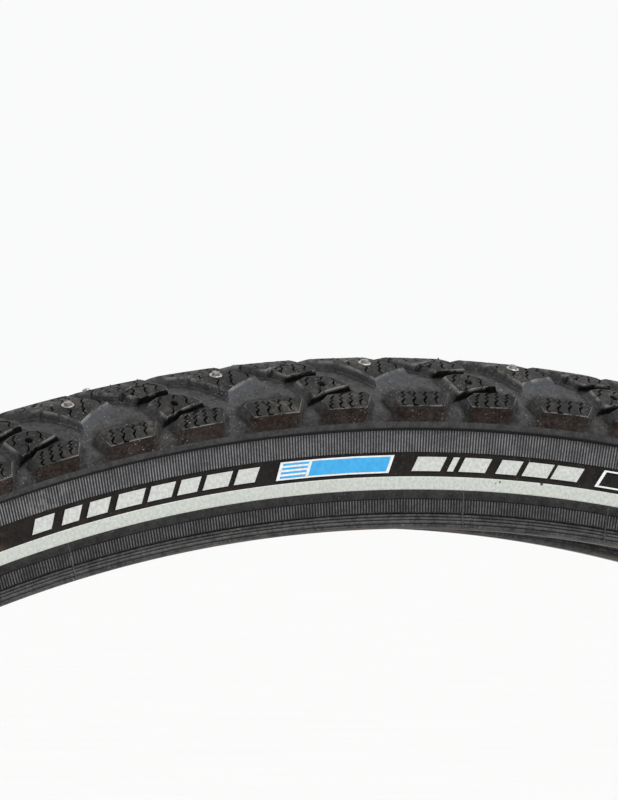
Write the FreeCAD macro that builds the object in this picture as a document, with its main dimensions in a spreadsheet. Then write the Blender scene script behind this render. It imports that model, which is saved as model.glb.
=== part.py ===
import FreeCAD, Part
import Sketcher
# Studded bicycle tire for a 622 mm rim, off the rim.
# Frame: axle along Y, +Z up, origin on the axle midway between the two beads.
# Left is +Y and right is -Y. Cross-sections are given as (y, r): distance from
# the centre plane and distance from the axle. All sizes are in millimetres.
import math
import os

V = FreeCAD.Vector
doc = FreeCAD.newDocument("bicycle_tire")

# ---------------------------------------------------------------- sizes
sheet = doc.addObject("Spreadsheet::Sheet", "Sizes")
SIZES = [
    ("bead_radius", 311.0),        # bead seat, half of 622
    ("crown_radius", 347.6),       # top of the centre blocks
    ("casing_half", 15.0),         # inner face of the casing at the sidewall
    ("shoulder_half", 20.8),       # outer edge of the shoulder blocks
    ("ply_thick", 0.45),
    ("belt_thick", 0.70),
    ("belt_half", 11.0),
    ("module_count", 60),          # tread modules round the tire
    ("wire_dia", 0.92),            # one turn of bead wire
    ("stripe_low", 319.4),         # reflective stripe, lower radius
    ("stripe_high", 322.2),        # reflective stripe, upper radius
    ("stripe_thick", 0.30),
    ("stud_head_dia", 3.3),
    ("stud_head_len", 0.7),
    ("stud_shank_dia", 2.5),
    ("stud_shank_len", 1.5),
    ("stud_foot_dia", 4.4),
    ("stud_foot_len", 0.6),
    ("stud_proud", 0.25),          # head above the block
    ("pin_dia", 1.5),
    ("pin_proud", 0.55),           # pin above the head
    ("pin_len", 2.0),
    ("hole_dia", 1.7),             # empty stud hole
    ("hole_depth", 2.0),
    ("mark_thick", 0.12),          # printed marks on the sidewall
]
for i, (alias, value) in enumerate(SIZES, start=1):
    sheet.set("A%d" % i, alias)
    sheet.set("B%d" % i, "%g" % value)
    sheet.setAlias("B%d" % i, alias)
doc.recompute()
Z = {alias: float(sheet.get(alias)) for alias, _ in SIZES}
BEAD, CROWN, CASE = Z["bead_radius"], Z["crown_radius"], Z["casing_half"]


# ------------------------------------------------- profiles, (y, r), y >= 0
# Inner face of the casing from the crown to the bead.
INNER = [(0.0, 342.7), (4.0, 342.45), (8.0, 341.4), (11.0, 339.9), (13.3, 337.5),
         (14.6, 334.6), (15.0, 331.0), (15.0, 322.0)]


def offset(points, dist):
    """Offset an open polyline to its left by dist, with mitred corners."""
    out = []
    n = len(points)
    for i in range(n):
        dirs = []
        if i > 0:
            dirs.append((points[i][0] - points[i - 1][0], points[i][1] - points[i - 1][1]))
        if i < n - 1:
            dirs.append((points[i + 1][0] - points[i][0], points[i + 1][1] - points[i][1]))
        norms = []
        for dx, dy in dirs:
            length = math.hypot(dx, dy)
            norms.append((-dy / length, dx / length))
        if len(norms) == 2:
            sx, sy = norms[0][0] + norms[1][0], norms[0][1] + norms[1][1]
            length = math.hypot(sx, sy)
            sx, sy = sx / length, sy / length
            f = 1.0 / (sx * norms[0][0] + sy * norms[0][1])
            nx, ny = sx * f, sy * f
        else:
            nx, ny = norms[0]
        out.append((points[i][0] + nx * dist, points[i][1] + ny * dist))
    return out


PLY = Z["ply_thick"]
BELT = Z["belt_thick"]
# Right-hand profiles run from the crown outwards and down, so "left of the
# path" is the outer side.
mirror_inner = [(-y, r) for y, r in reversed(INNER[1:])]
FULL = mirror_inner + INNER                     # bead side to bead side
FULL_1 = offset(FULL, PLY)                      # outside of the inner ply
FULL_2 = offset(FULL, 2 * PLY)                  # outside of the outer ply
HALF = len(INNER)
IN1 = FULL_1[-HALF:]
IN2 = FULL_2[-HALF:]
FOLD = CASE + 2 * PLY                           # 15.9, outer face of the fold
# Hook of the inner ply round the bead core, tube side face, after (15, 322).
HOOK = [(13.2, 316.4), (12.9, 315.2), (12.9, 312.5), (13.6, 311.6), (15.3, 311.6),
        (FOLD, 312.4), (FOLD, 318.2)]
LEG = INNER + HOOK                              # crown to the end of the fold
FULL_LEG = [(-y, r) for y, r in reversed(LEG[1:])] + LEG
FULL_LEG_1 = offset(FULL_LEG, PLY)
LEG_1 = FULL_LEG_1[-len(LEG):]
HOOK_1 = LEG_1[HALF:]                           # core side face of the hook


def cell_r(r):
    if r < 330.0:
        return "Sizes.bead_radius + %.6f" % (r - 311.0)
    return "Sizes.crown_radius - %.6f" % (347.6 - r)


def cell_y(y):
    if y > 15.0:
        return "Sizes.casing_half + %.6f" % (y - 15.0)
    return "Sizes.casing_half * %.8f" % (y / 15.0)


def ring_body(label, points, left=True):
    """A PartDesign body: a closed (y, r) polygon revolved about the axle."""
    body = doc.addObject("PartDesign::Body", label)
    body.Label = label
    sk = body.newObject("Sketcher::SketchObject", label + "_section")
    plane = [o for o in body.Origin.OriginFeatures if o.Role == "YZ_Plane"][0]
    sk.AttachmentSupport = [(plane, "")]
    sk.MapMode = "FlatFace"
    n = len(points)
    for i in range(n):
        a, b = points[i], points[(i + 1) % n]
        sk.addGeometry(Part.LineSegment(V(a[0], a[1], 0), V(b[0], b[1], 0)), False)
    for i in range(n):
        sk.addConstraint(Sketcher.Constraint("Coincident", i, 2, (i + 1) % n, 1))
    for i, (y, r) in enumerate(points):
        if abs(y) < 1e-9:
            sk.addConstraint(Sketcher.Constraint("PointOnObject", i, 1, -2))
        elif y > 0:
            c = sk.addConstraint(Sketcher.Constraint("DistanceX", -1, 1, i, 1, y))
            sk.setExpression("Constraints[%d]" % c, cell_y(y))
        else:
            c = sk.addConstraint(Sketcher.Constraint("DistanceX", i, 1, -1, 1, -y))
            sk.setExpression("Constraints[%d]" % c, cell_y(-y))
        c = sk.addConstraint(Sketcher.Constraint("DistanceY", -1, 1, i, 1, r))
        sk.setExpression("Constraints[%d]" % c, cell_r(r))
    doc.recompute()
    rev = body.newObject("PartDesign::Revolution", label + "_ring")
    rev.Profile = sk
    rev.ReferenceAxis = (sk, ["H_Axis"])
    rev.Angle = 360.0
    sk.Visibility = False
    doc.recompute()
    if not left:
        body.Placement = FreeCAD.Placement(V(0, 0, 0), FreeCAD.Rotation(V(0, 0, 1), 180))
    return body


nodes = []

# ---------------------------------------------------------------- casing
ply_profile = FULL_LEG + list(reversed(FULL_LEG_1))
nodes.append(ring_body("casing_ply_inner", ply_profile))

# The outer ply lies on the inner one and ends just above the fold.
out_end = 318.35
outer_in = [(-(CASE + PLY), out_end)] + FULL_1 + [(CASE + PLY, out_end)]
outer_out = [(-FOLD, out_end)] + FULL_2[1:-1] + [(FOLD, out_end)]
nodes.append(ring_body("casing_ply_outer", outer_in + list(reversed(outer_out))))

# Puncture belt between the outer ply and the tread.
FULL_3 = offset(FULL, 2 * PLY + BELT)
k0 = HALF - 1 - 3
belt_lo = FULL_2[k0:len(FULL_2) - k0]
belt_hi = FULL_3[k0:len(FULL_3) - k0]
nodes.append(ring_body("puncture_belt", belt_lo + list(reversed(belt_hi))))

# ---------------------------------------------------------------- beads
# Rubber round the bead wires, inside the fold of the inner ply.
filler = [LEG_1[HALF - 1]] + HOOK_1[:-1] + [(CASE + PLY, 318.2)]
WIRES = [(13.93, 312.72), (14.87, 312.72), (14.40, 313.56), (13.93, 314.40), (14.87, 314.40)]

# Chafer: the hard rubber skin that meets the rim.
chafer_in = [(12.9, 315.2), (12.9, 312.5), (13.6, 311.6), (15.3, 311.6), (FOLD, 312.4), (FOLD, 314.6)]
chafer_out = [(16.25, 314.6), (16.55, 314.0), (16.75, 313.0), (16.45, 311.7), (15.7, 311.0), (13.3, 311.0),
              (12.45, 312.1), (12.45, 315.0)]
chafer = chafer_in + chafer_out

# ---------------------------------------------------------------- sidewall
S_LO, S_HI, S_T = Z["stripe_low"], Z["stripe_high"], Z["stripe_thick"]
side_out = [(FOLD + 2.9, 333.8), (FOLD + 1.95, 332.1), (FOLD + 1.4, 332.1), (FOLD + 1.0, 327.4), (FOLD + 0.75, S_HI),
            (FOLD + 0.75 - S_T, S_HI), (FOLD + 0.68 - S_T, S_LO), (FOLD + 0.68, S_LO),
            (FOLD + 0.62, 317.0), (FOLD + 0.55, 315.2), (FOLD + 0.35, 314.6)]
# outer face of the outer ply, from the shoulder down
side_in = [(FOLD, 314.6), (FOLD, 322.0), IN2[6], IN2[5]]
sidewall = side_in + side_out
stripe = [(FOLD + 0.75 - S_T, S_HI), (FOLD + 0.78, S_HI), (FOLD + 0.71, S_LO), (FOLD + 0.68 - S_T, S_LO)]

for left, tag in ((True, "left"), (False, "right")):
    nodes.append(ring_body("sidewall_" + tag, sidewall, left))
    nodes.append(ring_body("reflective_stripe_" + tag, stripe, left))
    nodes.append(ring_body("chafer_" + tag, chafer, left))


def part_feature(label, shape):
    f = doc.addObject("Part::Feature", label)
    f.Shape = shape
    f.Label = label
    f.Placement = FreeCAD.Placement(V(0, 0, 0), FreeCAD.Rotation())
    nodes.append(f)
    return f


# Five turns of bead wire each side, and the rubber that fills round them.
for sgn, tag in ((1, "left"), (-1, "right")):
    hoops = []
    for y, r in WIRES:
        hoops.append(Part.makeTorus(r, Z["wire_dia"] / 2.0, V(0, sgn * y, 0), V(0, 1, 0)))
    wire = Part.makePolygon([V(0, sgn * y, r) for y, r in filler + filler[:1]])
    ring = Part.Face(wire).revolve(V(0, 0, 0), V(0, 1, 0), 360)
    for t in hoops:
        ring = ring.cut(t)
    part_feature("bead_filler_" + tag, ring)
    part_feature("bead_wires_" + tag, Part.makeCompound(hoops))


# ---------------------------------------------------------------- tread
def polar(theta, y, r):
    a = math.radians(theta)
    return V(r * math.sin(a), y, r * math.cos(a))


# Tops of the centre, studded and stud-hole blocks.
ENV = [(0.0, 347.6), (5.0, 347.2), (12.0, 344.4), (19.5, 339.3)]
# Floor of the grooves.
BASE = [(0.0, 345.5), (6.0, 344.9), (12.0, 342.8), (18.2, 338.4), (19.2, 336.0), (FOLD + 2.9, 333.8)]
MODULE = 360.0 / Z["module_count"]
TURN = -12.0          # the left half is the right half turned over: theta to TURN - theta, y to -y

# Blocks of the right half, polygons of (theta, |y|), for one module. The studded
# and centre blocks reach across the centre line between those of the other half.
BLOCKS = {
    "studded": [(-8.02, 6.9), (-7.30, 14.2), (-5.70, 10.0), (-6.30, 4.8), (-6.10, -4.6), (-6.93, -7.5),
                (-7.78, -5.3), (-7.17, 4.6)],
    "centre": [(-4.93, 7.9), (-4.52, 11.3), (-3.25, 9.4), (-3.42, 5.6), (-3.36, -3.0), (-3.90, -5.5),
               (-4.68, -4.4), (-4.10, 5.4)],
    "holed": [(-4.36, 13.2), (-4.21, 18.8), (-2.52, 16.0), (-2.85, 13.2), (-3.40, 11.9)],
}
STUD = (-7.10, 7.4)
HOLE = (-3.53, 15.0)
# Shoulder blocks: centre angle and half widths in degrees (outer, inner edge).
SHOULDERS = [(-6.12, 1.02, 0.80), (-3.12, 0.94, 0.72)]


def env_r(y):
    y = abs(y)
    for (ya, ra), (yb, rb) in zip(ENV, ENV[1:]):
        if y <= yb:
            return ra + (rb - ra) * (y - ya) / (yb - ya)
    return ENV[-1][1]


def env_normal(theta, y):
    """Outward normal of the block tops at (theta, signed y)."""
    slope = (env_r(abs(y) + 0.8) - env_r(abs(y) - 0.8 if abs(y) > 0.8 else 0.0)) / 1.6
    s = 1.0 if y > 0 else -1.0
    ny, nr = -slope * s, 1.0
    length = math.hypot(ny, nr)
    a = math.radians(theta)
    return V(nr / length * math.sin(a), ny / length, nr / length * math.cos(a))


def flat_solid(lower, upper):
    """Solid between two similar polygons in parallel planes, all faces flat."""
    n = len(lower)
    sides = [Part.makePolygon([lower[i], lower[(i + 1) % n], upper[(i + 1) % n], upper[i], lower[i]])
             for i in range(n)]
    wires = [Part.makePolygon(lower + lower[:1]), Part.makePolygon(upper + upper[:1])] + sides
    shell = Part.makeShell([Part.Face(w) for w in wires])
    shell.sewShape()
    shell = shell.Shells[0] if shell.ShapeType != "Shell" else shell
    solid = Part.Solid(shell)
    if solid.Volume < 0:
        solid.reverse()
    return solid


def frustum(poly3, normal, low, high, draft):
    """Solid over a polygon: straight sides that spread by draft towards the bottom."""
    c = V(0, 0, 0)
    for p in poly3:
        c = c + p
    c = c * (1.0 / len(poly3))
    e1 = V(normal.z, 0, -normal.x)
    e1.normalize()
    e2 = normal.cross(e1)
    flat = [((p - c).dot(e1), (p - c).dot(e2)) for p in poly3]
    size = sum(math.hypot(a, b) for a, b in flat) / len(flat)
    rings = []
    for h in (low, high):
        s = 1.0 - h * draft / size
        rings.append([c + e1 * (a * s) + e2 * (b * s) + normal * h for a, b in flat])
    return flat_solid(rings[0], rings[1])


def revolve_sector(poly, start, sweep):
    wire = Part.makePolygon([polar(start, y, r) for y, r in poly + poly[:1]])
    return Part.Face(wire).revolve(V(0, 0, 0), V(0, 1, 0), sweep)


def stud_solids(theta, y):
    """Body and pin of one stud, standing on the block's own normal."""
    nrm = env_normal(theta, y)
    top = polar(theta, y, env_r(y)) + nrm * Z["stud_proud"]
    d = nrm * -1.0
    z1, z2 = Z["stud_head_len"], Z["stud_head_len"] + Z["stud_shank_len"]
    head = Part.makeCylinder(Z["stud_head_dia"] / 2, z1, top, d)
    shank = Part.makeCylinder(Z["stud_shank_dia"] / 2, Z["stud_shank_len"], top + d * z1, d)
    foot = Part.makeCylinder(Z["stud_foot_dia"] / 2, Z["stud_foot_len"], top + d * z2, d)
    whole = head.fuse([shank, foot]).removeSplitter()
    pin = Part.makeCylinder(Z["pin_dia"] / 2, Z["pin_len"], top + nrm * Z["pin_proud"], d)
    return whole, whole.cut(pin), pin


S0 = -9.0            # the module runs from here to S0 + MODULE
left_end = [IN2[5], IN2[4], IN2[3]]              # shoulder of the outer ply, from the low end
right_end = [(-y, r) for y, r in left_end]
underside = left_end + list(reversed(belt_hi)) + list(reversed(right_end))
base_poly = [(-y, r) for y, r in reversed(BASE)][:-1] + BASE + underside
brim = ENV + [(Z["shoulder_half"], 336.5), (FOLD + 2.9, 333.8)]
env_poly = [(-y, r) for y, r in reversed(brim)][:-1] + brim + underside
base_sec = revolve_sector(base_poly, S0, MODULE)
env_sec = revolve_sector(env_poly, S0, MODULE)

pieces = []
cuts = []


def place(theta, y, sgn):
    """A point of the right half's pattern, on the right (-1) or left (+1) half."""
    return (theta, -y) if sgn < 0 else (TURN - theta, y)


for sgn in (-1, 1):
    for name, poly in BLOCKS.items():
        for turn in (-MODULE, 0.0, MODULE):
            flat_pts = [place(t, y, sgn) for t, y in poly]
            flat_pts = [(t + turn, y) for t, y in flat_pts]
            lo = min(t for t, _ in flat_pts)
            hi = max(t for t, _ in flat_pts)
            if hi + 0.4 < S0 or lo - 0.4 > S0 + MODULE:
                continue
            pts = [polar(t, y, env_r(y)) for t, y in flat_pts]
            tc = sum(t for t, _ in flat_pts) / len(flat_pts)
            ymid = 0.5 * (min(y for _, y in flat_pts) + max(y for _, y in flat_pts))
            low, draft = (-4.0, 0.16) if name == "holed" else (-8.0, 0.05)
            blk = frustum(pts, env_normal(tc, ymid), low, 4.0, draft).common(env_sec)
            if blk.Volume > 0.5:
                pieces.append(blk)
    for tc0, wo, wi in SHOULDERS:
        for turn in (-MODULE, 0.0, MODULE):
            tc = place(tc0, 0, sgn)[0] + turn
            if tc + wo + 0.4 < S0 or tc - wo - 0.4 > S0 + MODULE:
                continue
            y1, r1 = 17.3, 339.6
            y2, r2 = Z["shoulder_half"], 336.5
            a = [polar(tc - wi, sgn * y1, r1), polar(tc + wi, sgn * y1, r1),
                 polar(tc + wo, sgn * 19.6, 338.0), polar(tc + wo * 0.9, sgn * y2, r2),
                 polar(tc - wo * 0.9, sgn * y2, r2), polar(tc - wo, sgn * 19.6, 338.0)]
            mid = V(0, 0, 0)
            for p in a:
                mid = mid + p
            mid = mid * (1.0 / 6)
            n = (a[3] - a[0]).cross(a[1] - a[5])
            n.normalize()
            if n.dot(polar(tc, 0, 1)) < 0:
                n = n * -1.0
            e1 = polar(tc + 90, 0, 1)
            e1 = e1 - n * e1.dot(n)
            e1.normalize()
            e2 = n.cross(e1)
            flat = [((p - mid).dot(e1), (p - mid).dot(e2)) for p in a]
            rings = []
            for h, k in ((-3.6, 1.12), (0.0, 1.0)):
                rings.append([mid + e1 * (u * k) + e2 * (v * k) + n * h for u, v in flat])
            blk = flat_solid(rings[0], rings[1]).common(env_sec)
            if blk.Volume > 0.5:
                pieces.append(blk)
    for turn in (-MODULE, 0.0, MODULE):
        t, y = place(STUD[0], STUD[1], sgn)
        t += turn
        if S0 - 1 < t < S0 + MODULE + 1:
            whole, body_s, pin_s = stud_solids(t, y)
            cuts.append(whole)
        t, y = place(HOLE[0], HOLE[1], sgn)
        t += turn
        if S0 - 1 < t < S0 + MODULE + 1:
            nrm = env_normal(t, y)
            top = polar(t, y, env_r(y)) + nrm * 1.0
            cuts.append(Part.makeCylinder(Z["hole_dia"] / 2, Z["hole_depth"] + 1.0, top, nrm * -1.0))

sector = base_sec.multiFuse(pieces)
sector = sector.cut(cuts)
if len(sector.Solids) != 1:
    raise SystemExit("tread module is %d solids" % len(sector.Solids))
sector = sector.Solids[0].removeSplitter()


def on_plane(face, theta):
    n = polar(theta + 90.0, 0, 1)
    return all(abs(v.Point.dot(n)) < 1e-4 for v in face.Vertexes) and abs(face.CenterOfMass.dot(n)) < 1e-4


skin = [f for f in sector.Faces if not on_plane(f, S0) and not on_plane(f, S0 + MODULE)]
ends = len(sector.Faces) - len(skin)
print("tread module: faces", len(sector.Faces), "ends", ends, "volume", round(sector.Volume, 1))
skin = Part.makeCompound(skin)
faces = []
for i in range(int(Z["module_count"])):
    c = skin.copy()
    c.rotate(V(0, 0, 0), V(0, 1, 0), MODULE * i)
    faces.extend(c.Faces)
whole_skin = Part.makeCompound(faces)
whole_skin.sewShape(1e-4)
shells = whole_skin.Shells
if len(shells) != 1 or not shells[0].isClosed():
    raise SystemExit("tread did not close: %d shells" % len(shells))
tread = Part.Solid(shells[0])
if tread.Volume < 0:
    tread.reverse()
want = sector.Volume * Z["module_count"]
print("tread volume", round(tread.Volume, 1), "want", round(want, 1))
part_feature("tread", tread)

# ---------------------------------------------------------------- studs
for sgn, tag in ((1, "left"), (-1, "right")):
    bodies, pins = [], []
    t, y = place(STUD[0], STUD[1], sgn)
    _, b0, p0 = stud_solids(t, y)
    for i in range(int(Z["module_count"])):
        for src, dst in ((b0, bodies), (p0, pins)):
            c = src.copy()
            c.rotate(V(0, 0, 0), V(0, 1, 0), MODULE * i)
            dst.append(c)
    part_feature("stud_bodies_" + tag, Part.makeCompound(bodies))
    part_feature("stud_pins_" + tag, Part.makeCompound(pins))

# ---------------------------------------------------------------- printed marks
# Plain slanted bars, a plain badge and an open box, printed on the smooth band
# above the stripe. They stand for the maker's lettering and carry no text.
MT = Z["mark_thick"]


def side_y(r):
    """Outer face of the sidewall's smooth band at radius r."""
    ya, ra, yb, rb = FOLD + 1.0, 327.4, FOLD + 0.75, S_HI
    return ya + (yb - ya) * (r - ra) / (rb - ra)


def mark(theta_a, theta_b, r_lo, r_hi, lean, sgn, inset=0.0):
    """A slanted bar: its top is turned by lean degrees against its foot."""
    y0 = side_y(r_lo)
    y1 = side_y(r_hi)
    poly = [(sgn * y0, r_lo), (sgn * y1, r_hi), (sgn * (y1 + MT), r_hi), (sgn * (y0 + MT), r_lo)]
    pad = abs(lean) + 0.3
    band = revolve_sector(poly, theta_a - pad, theta_b - theta_a + 2 * pad)
    lo, hi = r_lo - 0.4, r_hi + 0.4
    k = lean / (r_hi - r_lo)
    la, ha = k * (lo - r_lo), k * (hi - r_lo)
    n = max(1, int((theta_b - theta_a) / 1.0))
    steps = [theta_a + (theta_b - theta_a) * i / n for i in range(n + 1)]
    pts = [polar(t + la, 0, lo) for t in steps] + [polar(t + ha, 0, hi) for t in reversed(steps)]
    lift = V(0, sgn * 14.0, 0)
    pts = [p + lift for p in pts]
    prism = Part.Face(Part.makePolygon(pts + pts[:1])).extrude(V(0, sgn * 8.0, 0))
    out = band.common(prism)
    return out.Solids


# Printed shapes of one group on the right side: start and end in degrees at the
# foot radius. The left side carries the mirror image.
R0, R1 = 323.35, 326.45
BARS = [(-16.50, -15.65), (-15.20, -14.45), (-14.10, -13.20), (-12.85, -11.70),
        (-11.45, -10.40), (-10.15, -9.30), (-9.05, -7.95), (-7.70, -6.80),
        (-0.03, 1.20), (1.50, 1.76), (2.00, 3.15), (3.60, 4.50), (4.75, 5.85), (6.00, 7.15)]
BAR_LEAN = 0.28 / (R1 - R0)
BADGE_LEAN = 0.21 / (R1 - R0)
GROUPS = (0.0, 120.0, 240.0)


def slab(a, b, r1, r2, k, turn_deg, sgn):
    """One printed slab between two radii, leaning k degrees per millimetre."""
    a, b, lean = a + k * (r1 - R0), b + k * (r1 - R0), k * (r2 - r1)
    if sgn > 0:
        a, b, lean = -b, -a, -lean
    return mark(a + turn_deg, b + turn_deg, r1, r2, lean, sgn)


# Badge: a hatched end, a divider and a plain field in a thin frame, and an open box.
GAP_T, GAP_R = 0.004, 0.02
EDGE_T, EDGE_R = 0.13, 0.34
A, B, DIV = -5.86, -1.00, -4.62
for sgn, tag in ((1, "left"), (-1, "right")):
    bars, badges, frames = [], [], []
    for g in GROUPS:
        for a, b in BARS:
            bars += slab(a, b, R0, R1 - 0.05, BAR_LEAN, g, sgn)
        lo, hi = R0 - 0.35, R1 + 0.35
        for a, b in ((A, A + EDGE_T), (B - EDGE_T, B), (DIV, DIV + EDGE_T)):
            r1, r2 = (lo, hi) if (a, b) != (DIV, DIV + EDGE_T) else (lo + EDGE_R + GAP_R, hi - EDGE_R - GAP_R)
            frames += slab(a, b, r1, r2, BADGE_LEAN, g, sgn)
        for r1, r2 in ((lo, lo + EDGE_R), (hi - EDGE_R, hi)):
            frames += slab(A + EDGE_T + GAP_T, B - EDGE_T - GAP_T, r1, r2, BADGE_LEAN, g, sgn)
        r1, r2 = lo + EDGE_R + GAP_R, hi - EDGE_R - GAP_R
        badges += slab(DIV + EDGE_T + GAP_T, B - EDGE_T - GAP_T, r1, r2, BADGE_LEAN, g, sgn)
        pitch = (r2 - r1 + GAP_R) / 7.0
        for n in range(7):
            piece = slab(A + EDGE_T + GAP_T, DIV - GAP_T, r1 + n * pitch, r1 + (n + 1) * pitch - GAP_R, BADGE_LEAN, g, sgn)
            if n % 2:
                frames += piece
            else:
                badges += piece
        c, d = 7.98, 9.70
        for a, b in ((c, c + EDGE_T), (d - EDGE_T, d)):
            frames += slab(a, b, lo, hi, BAR_LEAN, g, sgn)
        for r1, r2 in ((lo, lo + EDGE_R), (hi - EDGE_R, hi)):
            frames += slab(c + EDGE_T + GAP_T, d - EDGE_T - GAP_T, r1, r2, BAR_LEAN, g, sgn)
    part_feature("side_marks_" + tag, Part.makeCompound(bars))
    part_feature("badge_field_" + tag, Part.makeCompound(badges))
    part_feature("badge_border_" + tag, Part.makeCompound(frames))

doc.recompute()

# ---------------------------------------------------------------- checks and files
bad = []
for obj in doc.Objects:
    state = [s for s in obj.State if s in ("Invalid", "Error")]
    if state:
        bad.append("%s %s" % (obj.Name, state))
for node in nodes:
    if node.Shape.isNull() or not node.Shape.isValid():
        bad.append("%s has no valid shape" % node.Label)
    elif not node.Shape.Solids or node.Shape.Volume <= 0:
        bad.append("%s has no solid" % node.Label)
labels = [n.Label for n in nodes]
if len(set(labels)) != len(labels):
    bad.append("labels repeat")
if bad:
    raise SystemExit("FAILED: " + "; ".join(bad))
os.makedirs("parts", exist_ok=True)
for node in nodes:
    node.Shape.exportStep("parts/%s.step" % node.Label)
    print("%-26s solids %3d volume %.1f" % (node.Label, len(node.Shape.Solids), node.Shape.Volume))
print("nodes", len(nodes))
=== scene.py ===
# Studded bicycle tire: the visible pieces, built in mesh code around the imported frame.
# Lengths below are in millimetres and turned into metres when a mesh is made.
import bpy
import math
import numpy as np
from mathutils import Vector, Matrix, geometry


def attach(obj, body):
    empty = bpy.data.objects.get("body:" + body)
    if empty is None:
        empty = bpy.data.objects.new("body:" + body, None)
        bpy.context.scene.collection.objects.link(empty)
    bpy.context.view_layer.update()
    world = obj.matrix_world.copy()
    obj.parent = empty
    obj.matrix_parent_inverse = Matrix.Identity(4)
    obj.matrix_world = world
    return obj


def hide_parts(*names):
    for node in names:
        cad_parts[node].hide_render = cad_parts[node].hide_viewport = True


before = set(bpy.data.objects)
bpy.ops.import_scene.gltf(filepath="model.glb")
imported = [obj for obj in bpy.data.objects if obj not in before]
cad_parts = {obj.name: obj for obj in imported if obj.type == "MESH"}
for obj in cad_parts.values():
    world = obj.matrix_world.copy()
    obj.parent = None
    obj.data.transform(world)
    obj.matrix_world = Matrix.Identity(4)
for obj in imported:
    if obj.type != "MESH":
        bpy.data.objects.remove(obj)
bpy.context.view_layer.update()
MM = 0.001
SC = bpy.context.scene

# ------------------------------------------------------------------ profiles
DEG = math.pi / 180.0
MODULE = 6.0
ARC = 6.05                       # mm per degree on the block tops
ENV_Y = [0.0, 1.5, 3.0, 4.5, 6.0, 8.5, 11.0, 13.0, 15.0, 17.0, 18.5, 19.8, 20.8]
ENV_R = [347.6, 347.46, 347.29, 347.10, 346.88, 346.05, 344.9, 343.85, 342.65, 341.45, 340.35, 338.9, 337.3]
# Depth of the grooves under the block tops.
DEP_Y = [0.0, 6.0, 11.0, 15.0, 17.2, 18.6]
DEP_D = [2.2, 2.1, 1.8, 1.65, 1.60, 1.55]


def env_r(y):
    return np.interp(np.abs(y), ENV_Y, ENV_R)


def env_pt(v):
    """Block top at v, the distance across the tread from the centre: (y, r)."""
    a = np.abs(v)
    s = np.where(v < 0, -1.0, 1.0)
    y = np.where(a <= 20.8, a, 20.8 + (18.92 - 20.8) * (a - 20.8) / 2.6)
    r = np.where(a <= 20.8, env_r(a), 337.3 + (333.95 - 337.3) * (a - 20.8) / 2.6)
    return y * s, r


BASE_V = [16.0, 17.4, 18.6, 19.8, 20.8, 22.0, 23.4]
BASE_YY = [15.12, 16.35, 17.45, 18.45, 19.05, 19.18, 18.88]
BASE_RR = [340.45, 339.45, 338.35, 337.0, 335.9, 334.9, 333.92]


def base_pt(v):
    """Groove floor under v."""
    a = np.abs(v)
    s = np.where(v < 0, -1.0, 1.0)
    e = 0.6
    yt, rt = a, env_r(a)
    slope = (env_r(a + e) - env_r(np.maximum(a - e, 0.0))) / (2 * e)
    ln = np.sqrt(1 + slope * slope)
    ny, nr = -slope / ln, 1.0 / ln
    d = np.interp(a, DEP_Y, DEP_D)
    y0, r0 = yt - ny * d, rt - nr * d
    y1 = np.interp(a, BASE_V, BASE_YY)
    r1 = np.interp(a, BASE_V, BASE_RR)
    w = np.clip((a - 15.0) / 1.6, 0, 1)
    w = w * w * (3 - 2 * w)
    return (y0 * (1 - w) + y1 * w) * s, r0 * (1 - w) + r1 * w


def place3(theta, v, h):
    """Point at angle theta (degrees), across v (near side negative), height share h of the block."""
    theta = np.asarray(theta, float)
    v = np.asarray(v, float)
    h = np.asarray(h, float)
    yb, rb = base_pt(v)
    yt, rt = env_pt(v)
    y = yb + (yt - yb) * h
    r = rb + (rt - rb) * h
    a = theta * DEG
    return np.stack([r * np.sin(a), y, r * np.cos(a)], -1)


# ------------------------------------------------------------------ mesh helpers
def new_object(name, co, faces, smooth=True, sharp_deg=None, attrs=None, uv=None):
    me = bpy.data.meshes.new(name)
    me.from_pydata([tuple(p) for p in (np.asarray(co, float) * MM)], [], faces)
    me.validate(clean_customdata=False)
    me.update()
    if smooth:
        me.shade_smooth()
        if sharp_deg is not None:
            me.set_sharp_from_angle(angle=math.radians(sharp_deg))
    if attrs:
        for key, val in attrs.items():
            at = me.attributes.new(key, "FLOAT", "POINT")
            at.data.foreach_set("value", np.asarray(val, np.float32))
    ob = bpy.data.objects.new(name, me)
    SC.collection.objects.link(ob)
    return ob


def grid_faces(rows, cols, wrap=True):
    """Quads of a rows x cols grid; columns wrap round."""
    f = []
    n = cols if wrap else cols - 1
    for i in range(rows - 1):
        a = i * cols
        b = (i + 1) * cols
        for j in range(n):
            k = (j + 1) % cols
            f.append((a + j, a + k, b + k, b + j))
    return f


def revolve(profile, segs=720, side=1.0, attr=None, closed=False):
    """Open or closed (y, r) profile round the axle; side -1 mirrors it to the near side."""
    th = np.arange(segs) * (2 * math.pi / segs)
    co = []
    for y, r in profile:
        co.append(np.stack([r * np.sin(th), np.full(segs, y * side), r * np.cos(th)], -1))
    co = np.concatenate(co)
    f = grid_faces(len(profile), segs)
    if closed:
        a = (len(profile) - 1) * segs
        f += [(a + j, a + (j + 1) % segs, (j + 1) % segs, j) for j in range(segs)]
    if side < 0:
        f = [q[::-1] for q in f]
    return co, f


def orient(faces, flip):
    return [q[::-1] for q in faces] if flip else faces


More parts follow.
